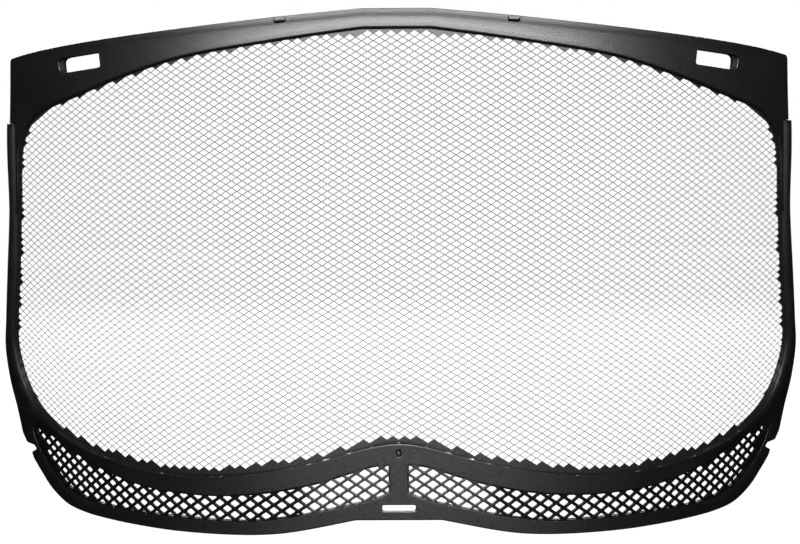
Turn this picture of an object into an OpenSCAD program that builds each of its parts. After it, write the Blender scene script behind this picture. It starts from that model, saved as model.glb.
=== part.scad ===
// Mesh face shield insert for a helmet visor carrier.
// An etched metal mesh is clamped between moulded frames, and the whole visor is bent to a cone.
// The wearer is behind it, towards +Y. The front centre line is upright, and z = 0 is the lowest edge.

/* [Visor shape] */
// Height of the visor on its front centre line
visor_h = 191.5; // [190:0.5:193]
// Half-angle of the cone that the visor is bent to
cone_half = 22.35; // [22:0.05:23]
// Depth of the cone's apex below the lowest edge
apex_drop = 396.5; // [392:0.5:402]
// Distance of the front centre line ahead of the origin
setback = 36.7; // [30:0.1:40]

/* [Thicknesses] */
// Thickness of the mesh sheet
mesh_t = 0.3; // [0.2:0.05:0.4]
// Thickness of the brow band ahead of the mesh
band_t = 1.5; // [1.2:0.1:1.8]
// Thickness of the chin frame and its side rails ahead of the mesh
rail_t = 2.3; // [2:0.1:2.8]
// Thickness of the rear frame, with the pocket that the mesh lies in
rear_t = 1.9; // [1.5:0.1:2.5]
// Width of the mesh's plain border under the frames
border_w = 4; // [3.6:0.1:4.2]

/* [Brow band] */
// Height at which the side rails take over from the brow band
rail_top = 151.3; // [148:0.1:155]
// Height of the lower tips of the brow band's legs
leg_end = 122; // [118:1:130]
// Length of each carrier slot
slot_len = 18.8; // [16:0.1:20]
// Height of each carrier slot
slot_h = 5.4; // [4.5:0.1:6]
// Length and height of a snap lug's face
lug_size = [3.8, 2.0]; // [1:0.1:5]
// Height of a snap lug above the band
lug_rise = 1.1; // [0.8:0.1:1.5]

/* [Chin frame] */
// Length of the slot in the chin bridge
chin_slot_len = 12.2; // [10:0.1:13]
// Height of the slot in the chin bridge
chin_slot_h = 2.3; // [1.5:0.1:3]
// Radius of the hole around the chin pin
pin_hole_r = 1.3; // [1.2:0.05:1.5]
// Radius of the chin pin
pin_r = 0.8; // [0.6:0.05:1]

/* [Chin grilles] */
// Thickness of a grille's rim
grille_t = 1.9; // [1.2:0.1:2.1]
// Thickness of the lattice, whose face is level with the rim's
lattice_t = 1; // [0.8:0.1:1.5]
// Width and height of one lattice cell
cell = [6.1, 4.05]; // [4:0.05:7]
// Width of a lattice strand
strand_w = 1; // [0.7:0.05:1.2]
// Width of the plain rim round a grille
rim_w = 0.8; // [0.6:0.1:1]

/* [Heat stakes] */
// Radius of a stake's shank
stake_r = 1.0; // [0.8:0.05:1.1]
// Radius of a stake's domed head
head_r = 1.6; // [1.4:0.05:1.7]
// Height of a stake's domed head
head_h = 0.7; // [0.5:0.1:1]

/* [Hidden] */

// Room beyond the part for cutters, and the smoothness of the large cones
far = 230;
cone_fn = 360;
bore_fn = 32;
bore_gap = 0.05;

// Centre of a carrier slot, the slot's tilt, a snap lug, the chin pin and the chin slot, on the
// flat pattern: u runs sideways from the centre line and v up from the lowest edge
slot_uv = [123.7, 173.7];
slot_tilt = -6.3;
lug_uv = [42.2, 187.8];
lug_tilt = -4.7;
pin_v = 31.2;
chin_slot_v = 11.3;
// Heat stakes on the flat pattern, right half: brow, chin top, chin corner, chin bottom
stakes_uv = [[24, 185.4], [58, 180.8], [92, 174.2], [150, 162.5],
    [28, 26.1], [62, 18.4], [96, 19.8], [164.5, 41.5],
    [30, 6.6], [66, 2.8], [104, 4.4]];
// Height of the first row of lattice cells, the lowest point [u, v] of a grille's middle line, the
// line's bow, and the most that a cell's centre lies above or below the line. Its outer end has
// no cells beyond the slanting line u = grille_end[0] + grille_end[1] * v
row_start = 1.65;
grille_low = [73, 10];
grille_bow = 412;
grille_reach = 10;
grille_end = [133.5, 0.75];
// Direction, round the cone, from which the side outlines are seen
side_phi = 48;

// Right half of an outline seen from the front, top to bottom: corners [x, z, radius]
outer_front = [[13, visor_h, 30], [80, visor_h - 5.5, 300], [112, visor_h - 9.1, 300],
    [175, visor_h - 20.5, 0], [175, 17, 0], [122, 4, 60], [86, 0, 80], [48, 0, 50], [15, 7, 12]];
function open_front(grow) = [[12.5, 184.5 + grow, 20], [84, 174.9 + grow, 120],
    [145.2 + grow, 152.9 + grow, 20], [145.6 + grow, 124, 0], [175, 95, 0], [175, 43 - grow, 0],
    [92, 22.2 - grow, 60], [60, 20.6 - grow, 28], [5.5, 35.6 - grow, 24]];

// Right side of an outline seen squarely from that side: corners [p, q, radius]
outer_side = [[-31.9, 205, 0], [-5, 141.2, 60], [23.6, 95.2, 14], [28.3, 60.6, 3.5], [26.5, 57, 1.2],
    [21.4, 55.4, 0.8], [21, 53.4, 0.8], [25.6, 53, 1], [24.9, 48.8, 8], [14.6, 31.6, 10],
    [-30, 9, 0], [-far, -110, 0], [-far, 320, 0], [-80, 320, 0]];
function rail_side(grow) = [[-35.6 + grow, 202, 0], [2 + grow, 119.8, 100],
    [19.9 + grow, 91.4, 16], [17.4 + grow, 72.3 - grow / 2, 14],
    [-1 + grow / 2, 53.2 - grow, 50], [-31, 35 - grow, 0], [-80, 0, 0], [-far, -110, 0],
    [-far, 320, 0], [-100, 320, 0]];
leg_side = [[-40, 203, 0], [-18.6, 159.7, 60], [0.8, 124, 0], [0.8, 60, 0], [-31, 35, 0],
    [-80, 0, 0], [-far, -110, 0], [-far, 320, 0], [-100, 320, 0]];

// Grille window, inner part seen from the front and outer part seen from the side
function window_front(inset) = [[3 + inset, 27.4 - inset, 1.2], [10, 27 - inset, 4],
    [52, 15 - inset, 25], [84, 14.8 - inset, 0], [84, 5.6 + inset, 0], [53, 5.4 + inset, 20],
    [8.5, 14.8 + inset, 3], [3 + inset, 17.2 + inset, 1.2]];
function window_side(inset) = [[-48, 20.2 - inset, 0], [-21, 34 - inset, 40],
    [18.3 - inset, 65.6 - inset, 1.5], [20.4 - inset, 61.4, 2], [18.6 - inset, 52.6, 12],
    [11.2 - inset, 40.2, 20], [-3.5, 28.2 + inset, 10], [-18, 21.9 + inset, 30], [-48, 10.2 + inset, 0]];

// The outline's corners [x, y, radius] rounded by arcs, as points
function unit(v) = v / norm(v);
function flat2(c) = [c[0], c[1]];
function rounded(c) = [for (i = [0 : len(c) - 1])
    let (
        p = flat2(c[i]),
        r = c[i][2],
        a = unit(flat2(c[(i + len(c) - 1) % len(c)]) - p),
        b = unit(flat2(c[(i + 1) % len(c)]) - p),
        half = acos(a * b) / 2,
        mid = p + unit(a + b) * r / sin(half),
        from = p + a * r / tan(half) - mid,
        to = p + b * r / tan(half) - mid,
        start = atan2(from[1], from[0]),
        sweep = (atan2(to[1], to[0]) - start + 540) % 360 - 180,
        steps = max(2, ceil(abs(sweep) / 12))
    )
    each r == 0 ? [p] : [for (k = [0 : steps]) mid + r * [cos(start + k * sweep / steps),
        sin(start + k * sweep / steps)]]];
function both_halves(c) = concat(c, [for (i = [len(c) - 1 : -1 : 0]) [-c[i][0], c[i][1], c[i][2]]]);

// Solid cone whose surface lies t ahead of the mesh's front face
module cone_at(t) {
    slant = apex_drop + visor_h + far;
    translate([0, -setback, -apex_drop])
        rotate([-cone_half, 0, 0])
            translate([0, 0, -t / sin(cone_half)])
                cylinder(h = slant, r1 = 0, r2 = slant * tan(cone_half), $fn = cone_fn);
}

// Conical skin between two heights above the mesh's front face
module skin(low, high) {
    difference() {
        cone_at(high);
        cone_at(low);
    }
}

// Frame at angle phi round the cone: x sideways, y inwards, z up the cone's side from its apex
module on_cone(phi) {
    translate([0, -setback, -apex_drop])
        rotate([-cone_half, 0, 0])
            rotate([0, 0, phi])
                rotate([cone_half, 0, 0])
                    children();
}

// Frame at a place on the flat pattern: x along u, y inwards, z along v
module at_flat(u, v, tilt = 0) {
    bend = atan2(u, v + apex_drop);
    on_cone(bend / sin(cone_half))
        translate([0, 0, norm([u, v + apex_drop])])
            rotate([0, -bend - tilt, 0])
                children();
}

// Prism along y of a 2-D outline, from y = near to y = deep
module along_y(near, deep) {
    translate([0, deep, 0])
        rotate([90, 0, 0])
            linear_extrude(height = deep - near)
                children();
}

// Cutter of an outline given as a right half, seen from the front
module front_cutter(half) {
    along_y(-far, far)
        polygon(rounded(both_halves(half)));
}

// Cutter of an outline seen squarely from the right side, to a depth past the skin
module right_cutter(outline, deep = 2 * far) {
    on_cone(side_phi)
        along_y(-40, deep)
            translate([0, apex_drop])
                polygon(rounded(outline));
}

// Cutter of an outline seen squarely from each side, inside both of them
module side_cutters(outline) {
    intersection() {
        right_cutter(outline);
        mirror([1, 0, 0])
            right_cutter(outline);
    }
}

module outer_shape() {
    intersection() {
        front_cutter(outer_front);
        side_cutters(outer_side);
    }
}

module view_opening(grow = 0) {
    intersection() {
        front_cutter(open_front(grow));
        side_cutters(rail_side(grow * 0.5));
    }
}

// Slab of everything between two heights
module between(low, high) {
    translate([-far, -far, low])
        cube([2 * far, 2 * far, high - low]);
}

// Straight slot with round ends, centred on the frame it is drawn in
module slot_cutter(length, height) {
    along_y(-10, 10) {
        square([length - height, height], center = true);
        for (side = [-1, 1])
            translate([side * (length - height) / 2, 0])
                circle(r = height / 2, $fn = bore_fn);
    }
}

module carrier_slots() {
    for (side = [-1, 1])
        at_flat(side * slot_uv[0], slot_uv[1], side * slot_tilt)
            slot_cutter(slot_len, slot_h);
}

module chin_slot() {
    at_flat(0, chin_slot_v)
        slot_cutter(chin_slot_len, chin_slot_h);
}

// Round cutter or pin along the skin's normal, from one height above the mesh to another
module normal_pin(low, high, r) {
    along_y(-high, -low)
        circle(r = r, $fn = bore_fn);
}

module at_stakes() {
    for (side = [-1, 1])
        for (uv = stakes_uv)
            at_flat(side * uv[0], uv[1])
                children();
}

module grille_window(side, inset) {
    mirror([side < 0 ? 1 : 0, 0, 0]) {
        along_y(-far, far)
            polygon(rounded(window_front(inset)));
        right_cutter(window_side(inset), 60);
    }
}

module brow_band() {
    color([0.09, 0.09, 0.09])
        difference() {
            intersection() {
                skin(0, band_t);
                outer_shape();
                union() {
                    between(rail_top, visor_h + far);
                    intersection() {
                        between(leg_end, rail_top + 1);
                        side_cutters(rail_side(0));
                    }
                }
            }
            intersection() {
                front_cutter(open_front(0));
                side_cutters(leg_side);
            }
            carrier_slots();
        }
}

module chin_frame() {
    color([0.12, 0.12, 0.12])
        difference() {
            intersection() {
                skin(0, rail_t);
                outer_shape();
                between(-far, rail_top);
            }
            view_opening();
            side_gap();
            grille_window(-1, 0);
            grille_window(1, 0);
            chin_slot();
            at_flat(0, pin_v)
                normal_pin(-1, rail_t + 1, pin_hole_r);
        }
}

// Room for the brow band's legs beside the rails
module side_gap() {
    intersection() {
        between(leg_end, visor_h);
        side_cutters(rail_side(0));
    }
}

module rear_frame() {
    color([0.07, 0.07, 0.07])
        difference() {
            intersection() {
                skin(-rear_t, 0);
                outer_shape();
            }
            view_opening();
            mesh_blank();
            grille_window(-1, rim_w);
            grille_window(1, rim_w);
            carrier_slots();
            chin_slot();
            at_flat(0, pin_v)
                normal_pin(-rear_t - 1, 1, pin_r);
            at_stakes()
                normal_pin(-rear_t - 1, 1, stake_r + bore_gap);
        }
}

module mesh_blank() {
    intersection() {
        skin(-mesh_t, 0);
        view_opening(border_w);
    }
}

module mesh_screen() {
    color([0.35, 0.35, 0.35])
        difference() {
            mesh_blank();
            at_flat(0, pin_v)
                normal_pin(-1, 1, pin_r);
            at_stakes()
                normal_pin(-1, 1, stake_r + bore_gap);
        }
}

// Diamond openings of the lattice in one half of the chin
module grille_holes(side) {
    hole = cell / 2 - strand_w / 2 * [norm(cell) / cell[1], norm(cell) / cell[0]];
    for (row = [0 : 16])
        for (column = [0 : 25])
            let (
                u = (column + (row % 2) / 2 + 0.5) * cell[0],
                v = row_start + row * cell[1] / 2,
                middle = grille_low[1] + pow(u - grille_low[0], 2) / grille_bow
            )
            if (abs(v - middle) < grille_reach && u < grille_end[0] + grille_end[1] * v)
                at_flat(side * u, v)
                    along_y(-grille_t - 1, 1)
                        polygon([[hole[0], 0], [0, hole[1]], [-hole[0], 0], [0, -hole[1]]]);
}

module chin_grille(side) {
    color([0.05, 0.05, 0.05])
        difference() {
            intersection() {
                skin(0, grille_t);
                grille_window(side, 0);
            }
            intersection() {
                grille_window(side, rim_w);
                union() {
                    grille_holes(side);
                    skin(-1, grille_t - lattice_t);
                }
            }
        }
}

module snap_lug(side) {
    color([0.14, 0.14, 0.14])
        at_flat(side * lug_uv[0], lug_uv[1], side * lug_tilt)
            translate([-lug_size[0] / 2, -band_t - lug_rise, -lug_size[1] / 2])
                cube([lug_size[0], lug_rise, lug_size[1]]);
}

module chin_pin() {
    color([0.2, 0.2, 0.2])
        at_flat(0, pin_v)
            normal_pin(-rear_t, rail_t - 0.4, pin_r);
}

module heat_stakes() {
    color([0.1, 0.1, 0.1])
        at_stakes() {
            normal_pin(-rear_t, 0, stake_r);
            rotate([-90, 0, 0])
                translate([0, 0, rear_t])
                    cylinder(h = head_h, r1 = head_r, r2 = stake_r, $fn = bore_fn);
        }
}

brow_band();
chin_frame();
rear_frame();
mesh_screen();
chin_grille(-1);  // chin_grille_left
chin_grille(1);  // chin_grille_right
snap_lug(-1);  // snap_lug_left
snap_lug(1);  // snap_lug_right
chin_pin();
heat_stakes();
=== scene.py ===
"""Looks of a mesh face shield insert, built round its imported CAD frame.

Every piece is drawn on the flat pattern, in millimetres: u runs sideways from the front centre
line, v up from the lowest edge and t outwards from the mesh's front face. place() then bends the
pattern to the visor's cone and turns it into metres.
"""

import math

import bpy
import numpy as np
from mathutils import Matrix, Vector
from mathutils.geometry import delaunay_2d_cdt

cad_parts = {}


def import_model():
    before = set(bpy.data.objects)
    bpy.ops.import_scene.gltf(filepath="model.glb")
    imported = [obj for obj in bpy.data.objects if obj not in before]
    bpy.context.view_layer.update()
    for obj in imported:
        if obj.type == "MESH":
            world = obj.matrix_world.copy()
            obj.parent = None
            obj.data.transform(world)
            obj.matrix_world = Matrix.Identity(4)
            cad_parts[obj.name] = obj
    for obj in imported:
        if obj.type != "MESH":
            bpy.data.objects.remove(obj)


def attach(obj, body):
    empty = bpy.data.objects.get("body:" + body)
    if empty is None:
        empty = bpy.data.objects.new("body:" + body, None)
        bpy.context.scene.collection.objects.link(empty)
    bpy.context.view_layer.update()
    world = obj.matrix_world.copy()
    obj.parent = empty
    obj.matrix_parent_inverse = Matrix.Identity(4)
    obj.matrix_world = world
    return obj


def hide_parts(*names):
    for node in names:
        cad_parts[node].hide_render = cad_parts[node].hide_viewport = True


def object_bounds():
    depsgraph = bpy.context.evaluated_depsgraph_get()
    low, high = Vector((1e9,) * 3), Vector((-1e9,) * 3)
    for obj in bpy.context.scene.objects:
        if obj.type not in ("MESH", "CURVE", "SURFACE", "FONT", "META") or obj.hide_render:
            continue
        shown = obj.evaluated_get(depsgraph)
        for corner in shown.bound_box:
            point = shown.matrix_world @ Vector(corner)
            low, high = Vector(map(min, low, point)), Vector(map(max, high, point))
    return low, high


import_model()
CAD_LOW, CAD_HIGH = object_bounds()

# ---- Sizes, in millimetres on the flat pattern ----
MM = 0.001
# The cone's half angle, and how far below the pattern its apex is
HALF_ANGLE = math.radians(22.35)
APEX_DROP = 396.5
# Thicknesses
MESH_T = 0.3
BAND_T = 1.5
RAIL_T = 2.3
REAR_T = 1.9
GRILLE_T = 1.9
# The frame's foremost point is the chin frame's face on the centre line
SETBACK = -CAD_LOW.y / MM - RAIL_T
# Spacing of the points within a sheet and along its outlines
GRID = 3.0
BEND_STEP = 2.5

# Outlines, right half from the top centre clockwise: [u, v] on a smooth curve, [u, v, radius] at
# a corner
TOP_EDGE = [[0, 191.5], [12.5, 191.5, 22], [42, 189.0], [80, 185.5], [115, 182.1], [143, 178.7],
            [158.0, 176.0, 2.2], [159.3, 162]]
BAND_INNER = [[158.5, 124], [157.2, 137.4], [154.8, 145.0], [150.6, 151.0], [144.0, 155.6],
              [128.9, 160.6], [107, 167.6], [80.7, 174.6], [44.5, 180.0], [12.4, 184.1, 22],
              [0, 184.1]]
RAIL_INNER = [[157.6, 151.4], [160.2, 121.5], [163.1, 98.2], [165.4, 87], [168.4, 74],
              [169.8, 64], [167.7, 54], [163.4, 46.2], [156.6, 39.6], [147, 34.4],
              [133.6, 29.5], [110, 24.4], [86.5, 21.9], [63.7, 22.4], [40.3, 25.9], [22, 30.6],
              [9.8, 34.2], [0, 35.6]]
LOWER_EDGE = [[161.2, 151.4, 0.2], [161.7, 147.5], [162.4, 139], [163.4, 120], [164.9, 110],
              [166.9, 100], [169.0, 90], [172.4, 75], [174.7, 66], [175.2, 60], [174.3, 50],
              [171.7, 40], [169.8, 29.8, 2.5], [167.3, 26.2, 1.5], [162.0, 25.7, 0.9],
              [160.5, 24.4, 0.6], [164.6, 22.7, 0.7], [163.7, 20.5], [158.3, 15], [152.7, 10],
              [143.2, 5.0], [132, 2.8], [120, 1.8], [104, 0.9], [83.2, 0.15], [56.8, 0.35],
              [40.3, 1.8], [15.4, 6.9, 10], [0, 7.0]]
# Centres of the mesh's open cells lie within this line
SAW_LINE = [[0, 182.8], [12, 182.6], [30, 181.3], [50, 178.9], [70, 175.8], [90, 172],
            [110, 166.4], [130, 160], [143, 155.2], [150, 151], [154, 145], [156.4, 136],
            [158.2, 121.5], [161, 100], [165, 82], [168, 68], [167.9, 58], [164, 49],
            [153.5, 38.7], [133, 30.9], [112, 26.8], [92, 24.3], [76, 24], [60, 25], [40, 28.1],
            [28.5, 30], [15.4, 34.3], [7, 36.6], [0, 36.9]]
# Outer edge of the mesh sheet
BLANK = [[0, 187.5], [12.5, 187.5, 10], [45, 183.6], [82, 178.9], [130, 164.5], [146, 159.0, 8],
         [157.9, 148], [159.9, 135.5], [162.6, 122], [165.4, 105], [171.2, 74], [172.6, 63.5],
         [170.2, 52], [165.6, 44], [158.4, 37.6], [148, 32.4], [134, 27.6], [108, 22.2],
         [86.5, 20.2], [63.7, 20.6], [40.3, 23.6], [20, 28.0], [9, 32.4], [0, 33.6]]
# Recess that the grille lies in, and the part of it where the lattice is open
RECESS = [[3.0, 27.3, 1.0], [9.8, 26.6], [28.9, 20.6], [45.9, 16.9], [59.4, 15.2], [77.3, 14.6],
          [99.4, 16.2], [120, 21.0], [139, 27.5], [152, 32.6], [160.6, 36.2, 1.6], [162.3, 33, 3],
          [160.5, 27.6], [156.4, 22.1], [152, 17.7], [147.5, 14.3], [141.4, 10.6], [130, 7.4, 20],
          [114.2, 6.2], [87, 5.2], [57.9, 5.1], [40.3, 7.2], [23.4, 10.7], [6.9, 14.8],
          [3.0, 16.8, 1.0]]
OPEN_LATTICE = [[3.5, 26.7, 0.6], [9.8, 26.1], [28.9, 20.1], [45.9, 16.4], [59.4, 14.7],
                [77.3, 14.1], [99.4, 15.6], [120, 20.2], [137.4, 25.9], [150, 30.9],
                [158.8, 34.2, 0.8], [158.6, 31.2], [154.6, 24.8], [148.7, 17.2], [142.2, 12.0],
                [130.6, 8.0, 8], [114.2, 6.7], [87, 5.7], [57.9, 5.6], [40.3, 7.8], [23.4, 11.3],
                [6.9, 15.5], [3.5, 17.4, 0.6]]
# The rear frame's window reaches further out, so that the lattice is clear from straight ahead
REAR_WINDOW = (OPEN_LATTICE[:8] + [[138, 26.2], [151, 31.0], [162.8, 36.5, 2], [165.0, 32.6, 3],
               [161.4, 28.0], [158.6, 23.2], [155.2, 15.8], [147.2, 8.9], [135, 5.9, 12],
               [119, 5.1]] + OPEN_LATTICE[17:])


# ---- From the flat pattern to the cone ----
def place(flat):
    """Rows (u, v, t) put on the cone, in metres, with the pattern's three directions there."""
    u, v, t = np.asarray(flat, float).T
    sine, cosine = math.sin(HALF_ANGLE), math.cos(HALF_ANGLE)
    r = np.hypot(u, v + APEX_DROP)
    bend = np.arctan2(u, v + APEX_DROP)
    phi = bend / sine
    axis = np.array([0, sine, cosine])
    sideways = np.array([1.0, 0, 0])
    forward = np.array([0, -cosine, sine])
    radial = np.outer(np.sin(phi), sideways) + np.outer(np.cos(phi), forward)
    around = np.outer(np.cos(phi), sideways) - np.outer(np.sin(phi), forward)
    ruling = cosine * axis + sine * radial
    normal = cosine * radial - sine * axis
    c, s = np.cos(bend)[:, None], np.sin(bend)[:, None]
    points = r[:, None] * ruling + t[:, None] * normal - np.array([0, SETBACK, APEX_DROP])
    return points * MM, c * around + s * ruling, c * ruling - s * around, normal


def bent_mesh(name, points, faces, normals):
    """Mesh object of flat points and faces, bent to the cone. normals has one flat normal for
    each corner of each face."""
    mesh = bpy.data.meshes.new(name)
    where, along_u, along_v, outward = place(points)
    mesh.from_pydata(where.tolist(), [], [tuple(f) for f in faces])
    corner = np.array([i for f in faces for i in f])
    flat = np.asarray(normals, float)
    bent = (flat[:, :1] * along_u[corner] + flat[:, 1:2] * along_v[corner]
            + flat[:, 2:] * outward[corner])
    bent /= np.linalg.norm(bent, axis=1)[:, None]
    mesh.shade_smooth()
    mesh.normals_split_custom_set(bent.tolist())
    piece = bpy.data.objects.new(name, mesh)
    bpy.context.scene.collection.objects.link(piece)
    return piece


# ---- Outlines ----
def mirrored(half):
    """The mirror image of a half outline."""
    return [[-p[0], *p[1:]] for p in half[::-1]]


def both_halves(half):
    """Whole outline from its right half, whose ends are on the centre line."""
    return half + mirrored(half)[1:-1]


def spline(a, b, before, after, step):
    """Points from a towards b on a smooth curve with the given end slopes."""
    n = max(1, math.ceil(np.linalg.norm(b - a) / step))
    s = (np.arange(n) / n)[:, None]
    return ((2 * s**3 - 3 * s**2 + 1) * a + (s**3 - 2 * s**2 + s) * before
            + (3 * s**2 - 2 * s**3) * b + (s**3 - s**2) * after)


def slope(points, i, towards):
    """Slope of the curve at point i, for the span that leads towards a neighbour (-1 or 1)."""
    n = len(points)
    here, there = np.array(points[i][:2]), np.array(points[(i + towards) % n][:2])
    length = np.linalg.norm(there - here)
    if len(points[i]) == 3:
        return (there - here) * towards
    back = np.array(points[(i - towards) % n][:2])
    chord = there - back
    return chord / np.linalg.norm(chord) * length * towards


def trimmed(line, length):
    """A polyline without its first stretch of that length, which is less than half of it."""
    steps = np.linalg.norm(np.diff(line, axis=0), axis=1)
    total = np.concatenate([[0], np.cumsum(steps)])
    length = min(length, total[-1] * 0.45)
    start = [np.interp(length, total, line[:, k]) for k in (0, 1)]
    return np.vstack([start, line[total > length + 1e-6]])


# What a corner's rounding takes at least from each side, and the number of its straight steps
LEAST_ROUNDING = 0.02
ROUNDING_STEPS = 7


def outline(points, step=BEND_STEP):
    """Closed polyline through an outline's points: a smooth curve, with its corners rounded."""
    n = len(points)
    corners = [i for i in range(n) if len(points[i]) == 3]
    if not corners:
        return np.vstack([stretch(points, i, step) for i in range(n)])
    sides = []
    for k, first in enumerate(corners):
        last = corners[(k + 1) % len(corners)]
        count = (last - first) % n or n
        line = [stretch(points, (first + j) % n, step) for j in range(count)]
        sides.append(np.vstack([*line, [points[last][:2]]]))
    pieces = []
    for k, side in enumerate(sides):
        first, last = corners[k], corners[(k + 1) % len(corners)]
        cut_first = reach(sides[k - 1], side, points[first][2])
        cut_last = reach(side, sides[(k + 1) % len(sides)], points[last][2])
        pieces.append(trimmed(trimmed(side, cut_first)[::-1], cut_last)[::-1])
    loop = []
    for k, side in enumerate(pieces):
        loop.append(side)
        corner = np.array(points[corners[(k + 1) % len(corners)]][:2], float)
        start, end = side[-1], pieces[(k + 1) % len(pieces)][0]
        s = np.linspace(0, 1, ROUNDING_STEPS + 1)[1:-1, None]
        loop.append((1 - s) ** 2 * start + 2 * s * (1 - s) * corner + s**2 * end)
    return np.vstack(loop)


def stretch(points, i, step):
    """Points of an outline's curve from point i up to the next one."""
    j = (i + 1) % len(points)
    a, b = np.array(points[i][:2], float), np.array(points[j][:2], float)
    return spline(a, b, slope(points, i, 1), slope(points, j, -1), step)


def reach(before, after, radius):
    """How far from a corner its rounding begins."""
    a = before[-2] - before[-1]
    b = after[1] - after[0]
    cosine = np.dot(a, b) / np.linalg.norm(a) / np.linalg.norm(b)
    half = math.acos(max(-1, min(1, cosine))) / 2
    if half > math.pi / 2 - 1e-4:
        return LEAST_ROUNDING
    return max(radius / math.tan(half), LEAST_ROUNDING)


def rounded_box(centre, size, tilt, radii):
    """Outline of a box at a place on the pattern, turned by tilt degrees, with a radius for each
    corner, from the lower left anticlockwise."""
    c, s = math.cos(math.radians(tilt)), math.sin(math.radians(tilt))
    signs = [(-1, -1), (1, -1), (1, 1), (-1, 1)]
    corners = []
    for (a, b), radius in zip(signs, radii):
        x, y = a * size[0] / 2, b * size[1] / 2
        corners.append([centre[0] + x * c - y * s, centre[1] + x * s + y * c, radius])
    return outline(corners, 1.5)


def ellipse(centre, radii, n=24):
    """Closed polyline of n points."""
    angle = np.arange(n) * 2 * math.pi / n
    return np.array(centre) + np.array(radii) * np.stack([np.cos(angle), np.sin(angle)], 1)


def flipped(loop):
    """Mirror image of a closed polyline about the centre line."""
    return (loop * [-1, 1])[::-1]


def open_curve(half):
    """Open polyline, from left to right, through a half outline that starts on the centre line."""
    points = mirrored(half)[:-1] + half
    points[0], points[-1] = [*points[0][:2], 0], [*points[-1][:2], 0]
    line = [stretch(points, i, BEND_STEP) for i in range(len(points) - 1)]
    return np.vstack([*line, [points[-1][:2]]])


def offset_curve(line, by):
    """The polyline moved sideways, to its right, by a distance."""
    direction = np.gradient(line, axis=0)
    direction /= np.linalg.norm(direction, axis=1)[:, None]
    return line + np.stack([direction[:, 1], -direction[:, 0]], 1) * by


def shrunk(loop, by):
    """The closed polyline, anticlockwise or not, moved inwards by a distance."""
    d = np.roll(loop, -1, axis=0) - np.roll(loop, 1, axis=0)
    inward = np.stack([-d[:, 1], d[:, 0]], 1) / np.linalg.norm(d, axis=1)[:, None]
    x, y = loop.T
    turn = np.sign((x * np.roll(y, -1) - y * np.roll(x, -1)).sum())
    return loop + inward * by * turn


def fade(x):
    """Smooth step down from 1 at 0 to 0 at 1 and beyond."""
    x = min(max(x, 0), 1)
    return 1 - x * x * (3 - 2 * x)


def between(x, none, full):
    """Smooth step from 0 where x is none to 1 where it is full, whichever is larger."""
    return fade((full - x) / (full - none))


def inside(loop, points):
    """Whether each point is within a closed polyline."""
    a, b = loop, np.roll(loop, -1, axis=0)
    x, y = points[:, :1], points[:, 1:]
    crosses = (a[:, 1] > y) != (b[:, 1] > y)
    rise = np.where(b[:, 1] == a[:, 1], 1e-12, b[:, 1] - a[:, 1])
    at = a[:, 0] + (y - a[:, 1]) * (b[:, 0] - a[:, 0]) / rise
    return (crosses & (x < at)).sum(1) % 2 == 1


def distance(loops, points):
    """Distance of each point from the nearest of the closed polylines."""
    best = np.full(len(points), 1e9)
    for loop in loops:
        for a, b in zip(loop, np.roll(loop, -1, axis=0)):
            d = b - a
            along = np.clip((points - a) @ d / max(d @ d, 1e-12), 0, 1)
            best = np.minimum(best, np.linalg.norm(points - a - along[:, None] * d, axis=1))
    return best


def nearest(line, point):
    """Distance of one point from an open polyline."""
    a, b = line[:-1], line[1:]
    d = b - a
    along = np.clip(((point - a) * d).sum(1) / (d * d).sum(1), 0, 1)
    return float(np.linalg.norm(point - a - along[:, None] * d, axis=1).min())


# ---- Solids on the flat pattern ----
def triangles(loops, solid, margin, edges=None):
    """Triangles of the pattern where solid(points) is true, cut along the loops and the extra
    edges, with a grid of points between them that lets the sheet bend smoothly. edges holds an
    array of points and the pairs of them to join."""
    points, borders = [], []
    for loop in loops:
        first = len(points)
        points += [Vector(p) for p in loop]
        borders += [(first + i, first + (i + 1) % len(loop)) for i in range(len(loop))]
    if edges is not None:
        first = len(points)
        points += [Vector(p) for p in edges[0]]
        borders += [(first + a, first + b) for a, b in edges[1]]
    low, high = loops[0].min(0), loops[0].max(0)
    columns = np.arange(low[0], high[0], GRID)
    rows = np.arange(low[1], high[1], GRID)
    grid = np.stack(np.meshgrid(columns, rows), -1).reshape(-1, 2)
    grid = grid[solid(grid)]
    lines = loops if edges is None else loops + [edges[0]]
    grid = grid[distance(lines, grid) > margin]
    points += [Vector(p) for p in grid]
    flat, _, faces = delaunay_2d_cdt(points, borders, [], 0, 1e-4)[:3]
    flat = np.array([tuple(p) for p in flat])
    faces = np.array([f for f in faces if len(f) == 3])
    corners = flat[faces]
    a, b = corners[:, 1] - corners[:, 0], corners[:, 2] - corners[:, 0]
    area = a[:, 0] * b[:, 1] - a[:, 1] * b[:, 0]
    faces[area < 0] = faces[area < 0][:, ::-1]
    faces = faces[(abs(area) > 1e-7) & solid(corners.mean(1))]
    used, new = np.unique(faces, return_inverse=True)
    return flat[used], new.reshape(-1, 3)


def border_edges(faces):
    """The edges with one face, with that face on their left."""
    every = np.concatenate([faces[:, [0, 1]], faces[:, [1, 2]], faces[:, [2, 0]]])
    present = set(map(tuple, every.tolist()))
    return [(a, b) for a, b in present if (b, a) not in present]


class Solid:
    """Collects the points, faces and corner normals of one piece on the flat pattern."""

    def __init__(self):
        self.points, self.faces, self.normals = [], [], []

    def add(self, points):
        first = len(self.points)
        self.points += [tuple(p) for p in points]
        return first

    def face(self, corners, normals):
        self.faces.append(tuple(corners))
        self.normals += [tuple(n) for n in normals]

    def made(self, name):
        return bent_mesh(name, self.points, self.faces, self.normals)


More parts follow.
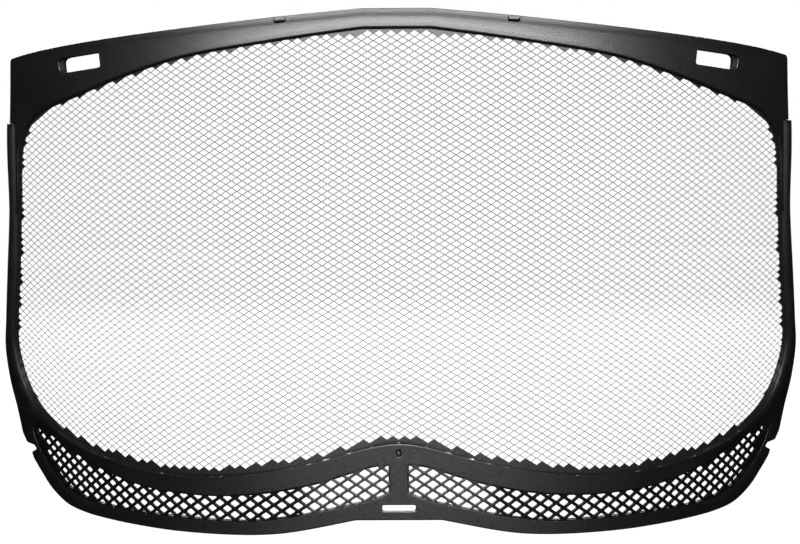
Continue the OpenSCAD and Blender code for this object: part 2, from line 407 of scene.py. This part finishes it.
def profile(low, high, round_low, round_high, steps):
    """Edge section from the back face to the front: (inset, t, slope) rings, where slope is the
    normal's angle above the wall."""
    rings = []
    for k in range(steps + 1):
        a = math.pi / 2 * (1 - k / steps)
        rings.append((round_low * (1 - math.cos(a)), low + round_low * (1 - math.sin(a)), -a))
    for k in range(steps + 1):
        a = math.pi / 2 * k / steps
        rings.append((round_high * (1 - math.cos(a)), high - round_high * (1 - math.sin(a)), a))
    return rings


# An outline's corner that turns by more degrees than this keeps a sharp edge along the wall
CREASE = 40
# Half the distance over which a front face's slope is read, and how far inside its edge
PROBE = 0.3
READ_INSIDE = 0.5


class Rim:
    """The border of a sheet of triangles, with the outward directions along it."""

    def __init__(self, flat, faces):
        self.edges = sorted(border_edges(faces))
        after = dict(self.edges)
        before = {b: a for a, b in self.edges}
        self.normal = {}
        for a, b in self.edges:
            d = flat[b] - flat[a]
            self.normal[a, b] = np.array([d[1], -d[0]]) / np.linalg.norm(d)
        members = sorted(after)
        self.spot = {a: i for i, a in enumerate(members)}
        self.base = flat[members]
        self.mean, self.sharp = [], []
        mitre = []
        for a in members:
            n1, n2 = self.normal[before[a], a], self.normal[a, after[a]]
            cosine = float(n1 @ n2)
            total = n1 + n2
            self.mean.append(total / max(np.linalg.norm(total), 1e-6))
            self.sharp.append(cosine < math.cos(math.radians(CREASE)))
            # Moves a point so that both its edges move out by one, save at a very sharp corner
            mitre.append(total / max(1 + cosine, 0.5))
        self.mitre = np.array(mitre)

    def values(self, rule, default):
        """rule(u, v) at each point of the border, or the default if there is no rule."""
        return np.array([rule(*p) if rule else default for p in self.base])

    def outward(self, edge, a):
        """Direction of the wall's normal at point a, on the face that stands on an edge."""
        return self.normal[edge] if self.sharp[self.spot[a]] else self.mean[self.spot[a]]


def slope_normal(relief, u, v):
    """Normal of a front face that is raised by relief(u, v)."""
    return (-(relief(u + PROBE, v) - relief(u - PROBE, v)) / 2 / PROBE,
            -(relief(u, v + PROBE) - relief(u, v - PROBE)) / 2 / PROBE, 1)


def thicken(solid, flat, faces, rings, relief=None, soften=None, lean=None):
    """Adds the solid between a back and a front face to a piece, with a rounded edge section.
    relief(u, v) raises the front face, soften(u, v) scales the front edge's roundness there and
    lean(u, v) is how far the wall leans in on its way up."""
    rim = Rim(flat, faces)
    low, high = rings[0][1], rings[-1][1]
    scale = rim.values(soften, 1)
    draft = rim.values(lean, 0)
    drop = rim.values(relief, 0)
    starts = []
    for inset, t, slant in rings:
        size = scale if slant >= 0 else np.ones(len(scale))
        level = high + (t - high) * size
        ring = rim.base - rim.mitre * (inset * size + draft * (level - low) / (high - low))[:, None]
        level = low + (level - low) * (high + drop - low) / (high - low)
        starts.append(solid.add(np.column_stack([ring, level])))
    inner = sorted(set(range(len(flat))) - set(rim.spot))
    slot_of = {a: i for i, a in enumerate(inner)}
    rise = [relief(*flat[a]) if relief else 0 for a in inner]
    back = solid.add([(*flat[a], low) for a in inner])
    front = solid.add([(*flat[a], high + h) for a, h in zip(inner, rise)])

    def at(a, ring, first):
        return starts[ring] + rim.spot[a] if a in rim.spot else first + slot_of[a]

    def up(a):
        if relief is None:
            return (0, 0, 1)
        inset = rim.mitre[rim.spot[a]] * READ_INSIDE if a in rim.spot else 0
        return slope_normal(relief, *(flat[a] - inset))

    for f in faces:
        solid.face([at(a, -1, front) for a in f], [up(a) for a in f])
        solid.face([at(a, 0, back) for a in f[::-1]], [(0, 0, -1)] * 3)

    # A wall's normal tilts up at least as the wall leans, and at most as the front face's normal
    least = np.arctan2(draft, high - low)
    most = np.full(len(scale), math.pi / 2)
    if relief:
        most -= [math.atan(abs(relief(*(p - m * PROBE)) - d) / PROBE)
                 for p, m, d in zip(rim.base, rim.mitre, drop)]
    for a, b in rim.edges:
        for k in range(len(rings) - 1):
            (_, t0, s0), (_, t1, s1) = rings[k], rings[k + 1]
            if t1 - t0 < 1e-6:
                continue
            corners = [(k, a, s0), (k, b, s0), (k + 1, b, s1), (k + 1, a, s1)]
            normals = []
            for _, c, slant in corners:
                tilt = min(max(slant, least[rim.spot[c]]), most[rim.spot[c]])
                normals.append((*(rim.outward((a, b), c) * math.cos(tilt)), math.sin(tilt)))
            solid.face([starts[ring] + rim.spot[c] for ring, c, _ in corners], normals)


def plate(name, loops, low, high, round_low, round_high, steps=4, relief=None, soften=None,
          lean=None, lines=None, clear=1.2):
    """A sheet piece within its first loop and outside the others, with rounded edges. lines are
    open polylines on it that give its relief the points it needs, where they're clear of its
    edges."""
    def solid(points):
        keep = inside(loops[0], points)
        for hole in loops[1:]:
            keep &= ~inside(hole, points)
        return keep

    margin = max(round_low, round_high) * (2 if soften else 1) + 0.35
    edges = None
    if lines:
        points, pairs = [], []
        for line in lines:
            line = line[solid(line)]
            line = line[distance(loops, line) > clear]
            first = len(points)
            points += list(line)
            pairs += [(first + i, first + i + 1) for i in range(len(line) - 1)
                      if np.linalg.norm(line[i] - line[i + 1]) < 2 * BEND_STEP]
        edges = (np.array(points), pairs)
    flat, faces = triangles(loops, solid, margin, edges)
    body = Solid()
    rings = profile(low, high, round_low, round_high, steps)
    thicken(body, flat, faces, rings, relief, soften, lean)
    return body.made(name)


# ---- Materials ----
def shader(name, roughness, specular):
    """A new material with its nodes, links and surface node."""
    material = bpy.data.materials.new(name)
    material.use_nodes = True
    nodes, links = material.node_tree.nodes, material.node_tree.links
    surface = nodes["Principled BSDF"]
    surface.inputs["Metallic"].default_value = 0
    surface.inputs["Roughness"].default_value = roughness
    surface.inputs["Specular IOR Level"].default_value = specular
    return material, nodes, links, surface


def noise(nodes, links, scale, detail, where):
    texture = nodes.new("ShaderNodeTexNoise")
    texture.inputs["Scale"].default_value = scale
    texture.inputs["Detail"].default_value = detail
    links.new(where, texture.inputs["Vector"])
    return texture.outputs["Fac"]


def ramp(nodes, links, value, stops):
    blend = nodes.new("ShaderNodeValToRGB")
    blend.color_ramp.elements[0].position = stops[0][0]
    blend.color_ramp.elements[1].position = stops[-1][0]
    for i, (_, colour) in enumerate(stops):
        level = colour if isinstance(colour, tuple) else (colour,) * 3
        blend.color_ramp.elements[i].color = (*level, 1)
    links.new(value, blend.inputs["Fac"])
    return blend.outputs["Color"]


# How far the grain moves a surface's roughness up and down
GLOSS_SPREAD = 0.06


def grained(name, dark, light, roughness, specular, grain=2200, cloud=60, bump=0.00004):
    """Moulded or etched surface: fine grain in its height and gloss, slow drifts in its colour."""
    material, nodes, links, surface = shader(name, roughness, specular)
    where = nodes.new("ShaderNodeTexCoord").outputs["Object"]
    fine = noise(nodes, links, grain, 3, where)
    slow = noise(nodes, links, cloud, 2, where)
    colour = ramp(nodes, links, slow, [(0.35, dark), (0.68, light)])
    links.new(colour, surface.inputs["Base Color"])
    gloss = ramp(nodes, links, fine, [(0.3, roughness - GLOSS_SPREAD),
                                      (0.7, roughness + GLOSS_SPREAD)])
    links.new(gloss, surface.inputs["Roughness"])
    height = nodes.new("ShaderNodeBump")
    height.inputs["Distance"].default_value = bump
    height.inputs["Strength"].default_value = 1.0
    links.new(fine, height.inputs["Height"])
    links.new(height.outputs["Normal"], surface.inputs["Normal"])
    return material


def dull_outwards(material, start, end, specular):
    """Lets a material lose its sheen between two distances from the middle, sideways."""
    nodes, links = material.node_tree.nodes, material.node_tree.links
    surface = nodes["Principled BSDF"]
    where = nodes.new("ShaderNodeSeparateXYZ")
    links.new(nodes["Texture Coordinate"].outputs["Object"], where.inputs[0])
    away = nodes.new("ShaderNodeMath")
    away.operation = "ABSOLUTE"
    links.new(where.outputs["X"], away.inputs[0])
    sheen = nodes.new("ShaderNodeMapRange")
    socket = surface.inputs["Specular IOR Level"]
    for name, value in (("From Min", start), ("From Max", end), ("To Min", socket.default_value),
                        ("To Max", specular)):
        sheen.inputs[name].default_value = value
    links.new(away.outputs[0], sheen.inputs["Value"])
    links.new(sheen.outputs["Result"], socket)


def finish_piece(piece, material, slot, *nodes):
    """Gives a piece its material and body, and hides the CAD nodes it stands for."""
    piece.data.materials.append(material)
    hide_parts(*nodes)
    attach(piece, "root")


BLACK = (0.0032, 0.0032, 0.0034)
SOFT_BLACK = (0.005, 0.005, 0.0052)
satin = grained("satin_moulding", BLACK, SOFT_BLACK, 0.325, 0.98)
matt = grained("matt_moulding", SOFT_BLACK, (0.0075, 0.0075, 0.0077), 0.45, 0.6)
lattice_black = grained("lattice_moulding", BLACK, SOFT_BLACK, 0.34, 0.9)
dull_outwards(lattice_black, 0.030, 0.037, 0.12)
pin_grey = grained("pin_moulding", (0.02, 0.02, 0.0205), (0.03, 0.03, 0.031), 0.4, 0.6)
steel = grained("blackened_steel", (0.006, 0.006, 0.0063), (0.009, 0.009, 0.0094), 0.35, 0.85,
                grain=1500, cloud=45, bump=0.00002)

# ---- Frames ----
SLOT_AT = (123.7, 173.7)
SLOT_SIZE = (18.8, 5.4)
SLOT_TILT = -6.3
# The slot's corners from its inner lower one anticlockwise, in the brow band and the rear frame
SLOT_RADII = (1.1, 2.5, 2.4, 0.4)
REAR_SLOT_RADII = (1.1, 0.5, 3.2, 0.4)
# How much shorter the rear frame's slot is at its outer end
SLOT_STEP = 1.1
CHIN_SLOT_AT = (0, 11.3)
CHIN_SLOT_SIZE = (12.2, 2.4)
PIN_AT = (0, 31.2)
PIN_HOLE = (1.0, 1.3)


def carrier_slots(shorten, radii):
    """The two brow slots, shortened at their outer ends."""
    centre = (SLOT_AT[0] - shorten / 2, SLOT_AT[1])
    right = rounded_box(centre, (SLOT_SIZE[0] - shorten, SLOT_SIZE[1]), SLOT_TILT, radii)
    return [right, flipped(right)]


def chin_slot():
    return rounded_box(CHIN_SLOT_AT, CHIN_SLOT_SIZE, 0, (1.0,) * 4)


def near_slots(u, v):
    """Whether a place is beside a slot or the pin's hole."""
    by_slot = math.hypot(abs(u) - SLOT_AT[0], v - SLOT_AT[1]) < SLOT_SIZE[0] / 2 + 1
    by_chin_slot = abs(u) < CHIN_SLOT_SIZE[0] / 2 + 0.2 and abs(v - CHIN_SLOT_AT[1]) < 2
    by_pin = math.hypot(u - PIN_AT[0], v - PIN_AT[1]) < 2.5
    return by_slot or by_chin_slot or by_pin


# Share of its plate's rounding that each front edge has
SLOT_EDGE = 0.35
BROW_TOP_EDGE = 0.5
BROW_LOW_EDGE = 1.5
CHIN_EDGE = 0.6
RECESS_EDGE = 0.12
SHARP_EDGE = 0.1
# A point this near to a line counts as on it
ON_LINE = 0.5

# Raised rim along the brow band's top and lip along its lower edge: height, width, and the width
# of the slope beside it, with the distances from the edge of the lines of points that carry it
RIM_RISE = 0.09
RIM_WIDTH = 1.2
RIM_SLOPE = 2.0
RIM_LINES = (1.4, 1.9, 2.5, 3.2)
LIP_RISE = 0.05
LIP_WIDTH = 1.6
LIP_SLOPE = 2.4
LIP_LINES = (1.9, 2.7, 3.6)


def brow_band():
    half = TOP_EDGE + [[160.5, 151.5, 0.05], [157.7, 151.5, 0.4], [158.8, 136], [160.1, 122.4],
                       [160.9, 115.5, 0.2]] + BAND_INNER
    top = open_curve(TOP_EDGE[:-2])
    low = open_curve(BAND_INNER[:0:-1])

    def relief(u, v):
        here = np.array([[u, v]])
        rim = RIM_RISE * fade((nearest(top, here) - RIM_WIDTH) / RIM_SLOPE)
        lip = LIP_RISE * fade((nearest(low, here) - LIP_WIDTH) / LIP_SLOPE)
        return rim + lip - RIM_RISE

    def soften(u, v):
        if near_slots(u, v):
            return SLOT_EDGE
        return BROW_LOW_EDGE if nearest(low, np.array([[u, v]])) < ON_LINE else BROW_TOP_EDGE

    lines = [offset_curve(top, d) for d in RIM_LINES]
    lines += [offset_curve(low, -d) for d in LIP_LINES]
    loops = [outline(both_halves(half))] + carrier_slots(0, SLOT_RADII)
    piece = plate("brow_band_shell", loops, 0, BAND_T, 0.15, 0.7, relief=relief, soften=soften,
                  lines=lines)
    finish_piece(piece, satin, "satin_plastic", "brow_band")


# The bevel along the rails' inner edges. Below BEVEL_FULL it drops to a share of its depth, and
# below RAIL_FOOT it ends between two distances from the middle
BEVEL = 1.6
BEVEL_WIDTH = 1.5
BEVEL_LINES = (0.75, 1.1, 1.4, 1.7)
BEVEL_FULL = 90
CORNER_BEVEL = 0.75
RAIL_FOOT = 80
BEVEL_END = (142, 168)
# The shallow bevel round the recess's outer end, down to the grille; it grows between two
# distances from the middle
RECESS_BEVEL = 1.5
RECESS_LINES = (0.75, 1.5)
RECESS_END = (118, 132)
RECESS_DEPTH = RAIL_T - GRILLE_T - 0.03
# The wall over the chin, below CHIN_TOP, leans back: not at all beyond the first distance from the
# middle, fully within the second. Its edge is sharp, but rounder within CHIN_MIDDLE
CHIN_TOP = 60
CHIN_LEAN = 0.75
LEAN_END = (155, 130)
CHIN_MIDDLE = 22


def chin_frame():
    half = RAIL_INNER[::-1][:-1] + [[157.6, 151.4, 0.4]] + LOWER_EDGE
    recess = outline(RECESS)
    recess_line = np.vstack([recess, recess[:1]])
    inner = open_curve(RAIL_INNER[::-1])

    def rail_bevel(u, v, here):
        part = between(u, *BEVEL_END) if v < RAIL_FOOT else 1
        if part <= 0.05:
            return 0
        deep = CORNER_BEVEL + (1 - CORNER_BEVEL) * between(v, CHIN_TOP, BEVEL_FULL)
        return BEVEL * part * deep * max(0, 1 - nearest(inner, here) / BEVEL_WIDTH)

    def recess_bevel(u, v, here):
        if u <= RECESS_END[0] or v > CHIN_TOP:
            return 0
        part = between(u, *RECESS_END)
        return RECESS_DEPTH * part * max(0, 1 - nearest(recess_line, here) / RECESS_BEVEL)

    def relief(u, v):
        here = np.array([[abs(u), v]])
        return -max(rail_bevel(abs(u), v, here), recess_bevel(abs(u), v, here))

    def lean(u, v):
        if v > CHIN_TOP or nearest(inner, np.array([[u, v]])) > ON_LINE:
            return 0
        return CHIN_LEAN * between(abs(u), *LEAN_END)

    def soften(u, v):
        here = np.array([[abs(u), v]])
        if near_slots(u, v):
            return SLOT_EDGE
        if nearest(recess_line, here) < ON_LINE:
            return RECESS_EDGE
        if nearest(inner, here) < ON_LINE and v < CHIN_TOP:
            return SHARP_EDGE + CHIN_EDGE * between(abs(u), CHIN_MIDDLE, 0)
        return CHIN_EDGE

    loops = [outline(both_halves(half)), recess, flipped(recess), chin_slot(),
             ellipse(PIN_AT, PIN_HOLE)]
    lines = [offset_curve(inner, -d) for d in BEVEL_LINES]
    end = recess[recess[:, 0] > RECESS_END[0] - 3]
    lines += [offset_curve(end * [s, 1], -d * s) for s in (-1, 1) for d in RECESS_LINES]
    piece = plate("chin_frame_shell", loops, 0, RAIL_T, 0.05, 0.8, steps=5, relief=relief,
                  soften=soften, lean=lean, lines=lines, clear=0.65)
    finish_piece(piece, satin, "satin_plastic", "chin_frame")


def widened(points, gap, middle, full, none):
    """Points moved outwards by a gap that is full near a middle height and fades away from it."""
    return [[u + gap * between(abs(v - middle), none, full), v] for u, v in points]


def view_loop():
    """Edge of the rear frame's view opening, which is a little wider at the sides."""
    band = widened(BAND_INNER[:5][::-1], gap=1.0, middle=100, full=12, none=72)
    rail = widened(RAIL_INNER[2:], gap=0.7, middle=75, full=9, none=54)
    return outline(both_halves(BAND_INNER[:4:-1] + band + rail))


def rear_frame():
    """Back frame, with a shoulder that closes the edge round the mesh."""
    half = TOP_EDGE + LOWER_EDGE[1:]
    window = outline(REAR_WINDOW)
    edge = outline(both_halves(half))
    cuts = [window, flipped(window), chin_slot()] + carrier_slots(SLOT_STEP, REAR_SLOT_RADII)
    body = Solid()
    layers = [(view_loop(), profile(-REAR_T, -MESH_T, 0.5, 0.03, 4)),
              (outline(both_halves(BLANK)), profile(-MESH_T, 0, 0.03, 0.03, 4))]
    for hole, rings in layers:
        loops = [edge, hole] + cuts

        def solid(points):
            return inside(edge, points) & ~np.any([inside(h, points) for h in loops[1:]], axis=0)

        flat, faces = triangles(loops, solid, margin=0.9)
        thicken(body, flat, faces, rings)
    finish_piece(body.made("rear_frame_shell"), matt, "matte_plastic", "rear_frame")


# ---- Mesh ----
CELL = (4.24, 2.57)
# How much of a cell's half width and half height its strands take
STRAND = (0.15, 0.065)
# Lean of a strand's normals, towards the hole and outwards, at its edge and at its ridge
EDGE_LEAN = (0.8, 0.6)
RIDGE_LEAN = (0.15, 1)


def cell_centres(half_u, top):
    """Centres of the mesh's staggered cells, row by row."""
    rows = np.arange(0, int(top / CELL[1] * 2) + 2)
    columns = np.arange(-int(half_u / CELL[0]) - 2, int(half_u / CELL[0]) + 3)
    j, i = np.meshgrid(rows, columns, indexing="ij")
    return np.stack([(i + 0.5 * (j % 2) + 0.5) * CELL[0], j * CELL[1] / 2], -1).reshape(-1, 2)


def key(point):
    """A point of the pattern in hundredths of a millimetre, so that equal corners meet."""
    return round(point[0] * 100), round(point[1] * 100)


def mesh_screen():
    """The etched sheet: its open cells, and the plain border round them."""
    saw = outline(both_halves(SAW_LINE))
    corners = np.array([[-0.5, 0], [0, -0.5], [0.5, 0], [0, 0.5]]) * CELL
    centres = cell_centres(saw[:, 0].max(), saw[:, 1].max())
    centres = centres[inside(saw, centres)]
    cells = centres[:, None, :] + corners[None]
    strands = lattice(cells, centres)
    border = mesh_border(cells, centres)
    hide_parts("mesh_screen")
    for piece in (strands, border):
        piece.data.materials.append(steel)
        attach(piece, "root")


def lattice(cells, centres):
    """The open cells: each strand is crowned to a ridge in front and behind, and thinnest at the
    edge of a hole. The nodes are longer across than up."""
    holes = centres[:, None, :] + (cells - centres[:, None, :]) * (1 - np.array(STRAND))
    body = Solid()
    nodes = {}

    def node(p, t):
        name = (*key(p), t)
        if name not in nodes:
            nodes[name] = body.add([(p[0], p[1], t)])
        return nodes[name]

    for cell, hole in zip(cells, holes):
        middle = body.add([(*h, -MESH_T / 2) for h in hole])
        for k in range(4):
            m = (k + 1) % 4
            d = cell[m] - cell[k]
            side = np.array([d[1], -d[0]]) / np.linalg.norm(d)
            for t, sign in ((0.0, 1), (-MESH_T, -1)):
                face = [node(cell[k], t), node(cell[m], t), middle + m, middle + k]
                edge, ridge = [(*(-side * lean[0]), lean[1] * sign)
                               for lean in (EDGE_LEAN, RIDGE_LEAN)]
                normals = [ridge, ridge, edge, edge]
                body.face(face[::sign], normals[::sign])
    return body.made("mesh_screen_lattice")


def mesh_border(cells, centres):
    """The sheet's plain border, whose inner edge follows the outermost open cells."""
    opened = {key(c) for c in centres}
    points, index, edges = [], {}, {}
    for cell in cells:
        ids = []
        for p in cell:
            if key(p) not in index:
                index[key(p)] = len(points)
                points.append(p)
            ids.append(index[key(p)])
        for k in range(4):
            a, b = ids[k], ids[(k + 1) % 4]
            pair = (min(a, b), max(a, b))
            edges[pair] = edges.get(pair, 0) + 1
    border = [pair for pair, count in sorted(edges.items()) if count == 1]
    used = sorted({a for pair in border for a in pair})
    spot = {a: i for i, a in enumerate(used)}
    cuts = (np.array([points[a] for a in used]), [(spot[a], spot[b]) for a, b in border])
    blank = outline(both_halves(BLANK))

    def solid(where):
        x, y = where[:, 0] / CELL[0], where[:, 1] / CELL[1]
        rising = np.round(x + y - 0.5)
        falling = np.round(y - x + 0.5)
        v = (rising + falling) / 2 * CELL[1]
        u = (rising - falling + 1) / 2 * CELL[0]
        in_hole = [key(centre) in opened for centre in zip(u, v)]
        return inside(blank, where) & ~np.array(in_hole)

    flat, faces = triangles([blank], solid, margin=0.8, edges=cuts)
    body = Solid()
    add_walls(body, flat, faces, -MESH_T, 0.0)
    return body.made("mesh_screen_border")


def add_walls(solid, flat, faces, low, high):
    """Adds a sharp-edged sheet between two heights to a piece."""
    back = solid.add([(*p, low) for p in flat])
    front = solid.add([(*p, high) for p in flat])
    for f in faces:
        solid.face([front + a for a in f], [(0, 0, 1)] * 3)
        solid.face([back + a for a in f[::-1]], [(0, 0, -1)] * 3)
    for a, b in sorted(border_edges(faces)):
        d = flat[b] - flat[a]
        out = (d[1], -d[0], 0)
        solid.face([back + a, back + b, front + b, front + a], [out] * 4)


# ---- Grilles ----
GRILLE_CELL = (6.1, 4.05)
GRILLE_ROWS = 18
GRILLE_COLUMNS = 27
# Height of the lowest row's centres
GRILLE_ROW = 1.65
# The strands' width, and how much wider they are beyond a distance from the middle
GRILLE_STRAND = 1.0
WIDER = 1.2
WIDER_FROM = 33
# Cells that the opening cuts are left out beyond this distance from the middle
WHOLE_FROM = 125
# The lattice lies at the front; behind it is only the solid rim
LATTICE_LOW = GRILLE_T - 1.0
GRILLE_RIM = 0.7
# Radius of a cell's corners, and the spacing of points along its edge
CELL_CORNER = 0.3
CELL_STEP = 1.6


def grille_cells(opening):
    """Outlines of the lattice's holes, whose diamonds shrink as the strands between them widen."""
    thin = math.hypot(*GRILLE_CELL) / (GRILLE_CELL[0] * GRILLE_CELL[1])
    cells = []
    for row in range(GRILLE_ROWS):
        for column in range(GRILLE_COLUMNS):
            centre = np.array([(column + row % 2 / 2 + 0.5) * GRILLE_CELL[0],
                               GRILLE_ROW + row * GRILLE_CELL[1] / 2])
            strand = GRILLE_STRAND * (1 if centre[0] < WIDER_FROM else WIDER)
            half = np.array(GRILLE_CELL) / 2 * (1 - strand * thin)
            corners = centre + half * [[-1, 0], [0, -1], [1, 0], [0, 1]]
            kept = inside(opening, np.vstack([corners, [centre]]))
            if kept[4] or kept.any() and centre[0] < WHOLE_FROM:
                cells.append(outline([[*c, CELL_CORNER] for c in corners], CELL_STEP))
    return cells


def grille(side, name, node):
    """Moulded lattice in a solid edge; the cells are cut off at the open part's outline."""
    edge, opening = outline(RECESS), outline(OPEN_LATTICE)
    diamonds = grille_cells(opening)

    def solid(points):
        keep = inside(edge, points)
        near = np.where(keep & inside(opening, points))[0]
        for loop in diamonds:
            keep[near] &= ~inside(loop, points[near])
        return keep

    hollow = shrunk(edge, GRILLE_RIM)

    def rim(points):
        return inside(edge, points) & ~inside(hollow, points)

    border = np.vstack([edge, edge[:1]])

    def soften(u, v):
        return SHARP_EDGE if nearest(border, np.array([[abs(u), v]])) < 0.1 else 1

    body = Solid()
    layers = [(solid, [edge] + diamonds + [opening], profile(LATTICE_LOW, GRILLE_T, 0.15, 0.4, 3)),
              (rim, [edge, hollow], profile(0, LATTICE_LOW, 0.03, 0.03, 1))]
    for test, loops, rings in layers:
        flat, faces = triangles(loops, test, margin=0.5)
        if side < 0:
            flat = flat * [-1, 1]
            faces = faces[:, ::-1]
        thicken(body, flat, faces, rings, soften=soften)
    finish_piece(body.made(name), lattice_black, "grille_plastic", node)


# ---- Small pieces ----
LUG_AT = (42.2, 187.8)
LUG_SIZE = (4.4, 2.3)
LUG_TILT = -4.7
LUG_RISE = 1.1


def snap_lug(side, name, node):
    loop = rounded_box((side * LUG_AT[0], LUG_AT[1]), LUG_SIZE, side * LUG_TILT, (0.8,) * 4)

    def soften(_, v):
        return 0.5 if v > LUG_AT[1] else 1.6

    piece = plate(name, [loop], BAND_T - RIM_RISE, BAND_T + LUG_RISE, 0.05, 0.6, soften=soften)
    finish_piece(piece, satin, "satin_plastic", node)


PIN_RADII = (0.8, 0.9)
PIN_SUNK = 0.5


def chin_pin():
    loop = ellipse(PIN_AT, PIN_RADII)
    piece = plate("chin_pin_end", [loop], -REAR_T, RAIL_T - PIN_SUNK, 0.1, 0.45)
    finish_piece(piece, pin_grey, "pin_plastic", "chin_pin")


STAKES = [[24, 185.4], [58, 180.8], [92, 174.2], [150, 162.5], [28, 26.1], [62, 18.4], [96, 19.8],
          [164.5, 41.5], [30, 6.6], [66, 2.8], [104, 4.4]]
# A head's section from its foot: radius, height, and the normal's angle out of the sheet
STAKE_SECTION = [(1.6, 0.0, 0.0), (1.62, 0.16, 0.1), (1.5, 0.36, 0.7), (1.2, 0.52, 1.1),
                 (0.8, 0.62, 1.3), (0.4, 0.68, 1.45), (0.16, 0.66, 1.57)]
STAKE_SIDES = 20


def heat_stakes():
    """Melted heads on the back: domes that are a little flattened, with a dimple in the middle."""
    body = Solid()
    for side in (-1, 1):
        for u, v in STAKES:
            stake_head(body, (side * u, v))
    finish_piece(body.made("heat_stake_heads"), matt, "matte_plastic", "heat_stakes")


def stake_head(body, centre):
    """Adds one head, on its section's rings."""
    rings = []
    for radius, height, _ in STAKE_SECTION:
        circle = ellipse(centre, (radius, radius), STAKE_SIDES)
        rings.append(body.add([(*p, -REAR_T - height) for p in circle]))
    for k in range(len(rings) - 1):
        for i in range(STAKE_SIDES):
            j = (i + 1) % STAKE_SIDES
            corners = [(k, j), (k, i), (k + 1, i), (k + 1, j)]
            body.face([rings[ring] + spot for ring, spot in corners],
                      [stake_normal(STAKE_SECTION[ring][2], spot) for ring, spot in corners])
    body.face([rings[-1] + i for i in range(STAKE_SIDES)][::-1], [(0, 0, -1)] * STAKE_SIDES)
    body.face([rings[0] + i for i in range(STAKE_SIDES)], [(0, 0, 1)] * STAKE_SIDES)


def stake_normal(slant, i):
    a = 2 * math.pi * i / STAKE_SIDES
    return (math.cos(slant) * math.cos(a), math.cos(slant) * math.sin(a), -math.sin(slant))


brow_band()
chin_frame()
rear_frame()
mesh_screen()
grille(-1, "chin_grille_left_lattice", "chin_grille_left")
grille(1, "chin_grille_right_lattice", "chin_grille_right")
snap_lug(-1, "snap_lug_left_block", "snap_lug_left")
snap_lug(1, "snap_lug_right_block", "snap_lug_right")
chin_pin()
heat_stakes()


# ---- Floor, light and camera ----
FLOOR_REACH = 4.0


def floor():
    """White ground that glows evenly and doesn't show in the part's gloss."""
    mesh = bpy.data.meshes.new("floor")
    signs = [(-1, -1), (1, -1), (1, 1), (-1, 1)]
    corners = [(x * FLOOR_REACH, y * FLOOR_REACH, 0) for x, y in signs]
    mesh.from_pydata(corners, [], [(0, 1, 2, 3)])
    plane = bpy.data.objects.new("floor", mesh)
    bpy.context.scene.collection.objects.link(plane)
    material, _, _, surface = shader("floor_white", 0.9, 0.0)
    surface.inputs["Base Color"].default_value = (0.1, 0.1, 0.1, 1)
    surface.inputs["Emission Color"].default_value = (1, 1, 1, 1)
    surface.inputs["Emission Strength"].default_value = 1.0
    mesh.materials.append(material)
    plane.visible_glossy = False
    plane.visible_diffuse = False


def softbox(name, position, target, size, power):
    """Area light that faces a point."""
    light = bpy.data.lights.new(name, "AREA")
    light.shape = "RECTANGLE"
    light.size, light.size_y = size
    light.energy = power
    lamp = bpy.data.objects.new(name, light)
    lamp.location = position
    lamp.rotation_euler = (Vector(target) - Vector(position)).to_track_quat("-Z", "Y").to_euler()
    bpy.context.scene.collection.objects.link(lamp)


def world():
    """White background that doesn't light the part."""
    surroundings = bpy.data.worlds.new("surroundings")
    surroundings.use_nodes = True
    background = surroundings.node_tree.nodes["Background"]
    background.inputs["Color"].default_value = (1, 1, 1, 1)
    background.inputs["Strength"].default_value = 1.0
    surroundings.cycles_visibility.glossy = False
    surroundings.cycles_visibility.diffuse = False
    bpy.context.scene.world = surroundings


LENS = 108
CAMERA_AT = (0.0089, -0.9015, 0.1276)
# In degrees
CAMERA_TURN = 0.54
CAMERA_DIP = 2.05
CAMERA_ROLL = -0.267


def camera():
    data = bpy.data.cameras.new("camera")
    data.sensor_width = 36
    data.lens = LENS
    eye = bpy.data.objects.new("camera", data)
    turn = Matrix.Rotation(math.radians(CAMERA_TURN), 4, "Z")
    pitch = Matrix.Rotation(math.radians(90 - CAMERA_DIP), 4, "X")
    roll = Matrix.Rotation(math.radians(CAMERA_ROLL), 4, "Z")
    eye.matrix_world = Matrix.Translation(CAMERA_AT) @ turn @ pitch @ roll
    bpy.context.scene.collection.objects.link(eye)
    bpy.context.scene.camera = eye


# Name, place, the point it faces, width and height, and power
SOFTBOXES = [("key", (0.05, -1.38, 0.60), (0.05, 0, 0.60), (2.2, 0.48), 53),
             ("overhead", (0, -0.7, 1.1), (0, 0, 0.1), (2.0, 0.6), 1.0),
             ("left_fill", (-1.5, 0.1, 0.9), (0, 0, 0.1), (0.6, 0.6), 0.7),
             ("right_fill", (1.5, 0.1, 0.9), (0, 0, 0.1), (0.6, 0.6), 0.7),
             ("back_fill", (0, 1.4, 0.9), (0, 0, 0.1), (1.6, 0.5), 30)]

floor()
world()
for lamp in SOFTBOXES:
    softbox(*lamp)
camera()
bpy.context.scene.view_settings.view_transform = "Standard"
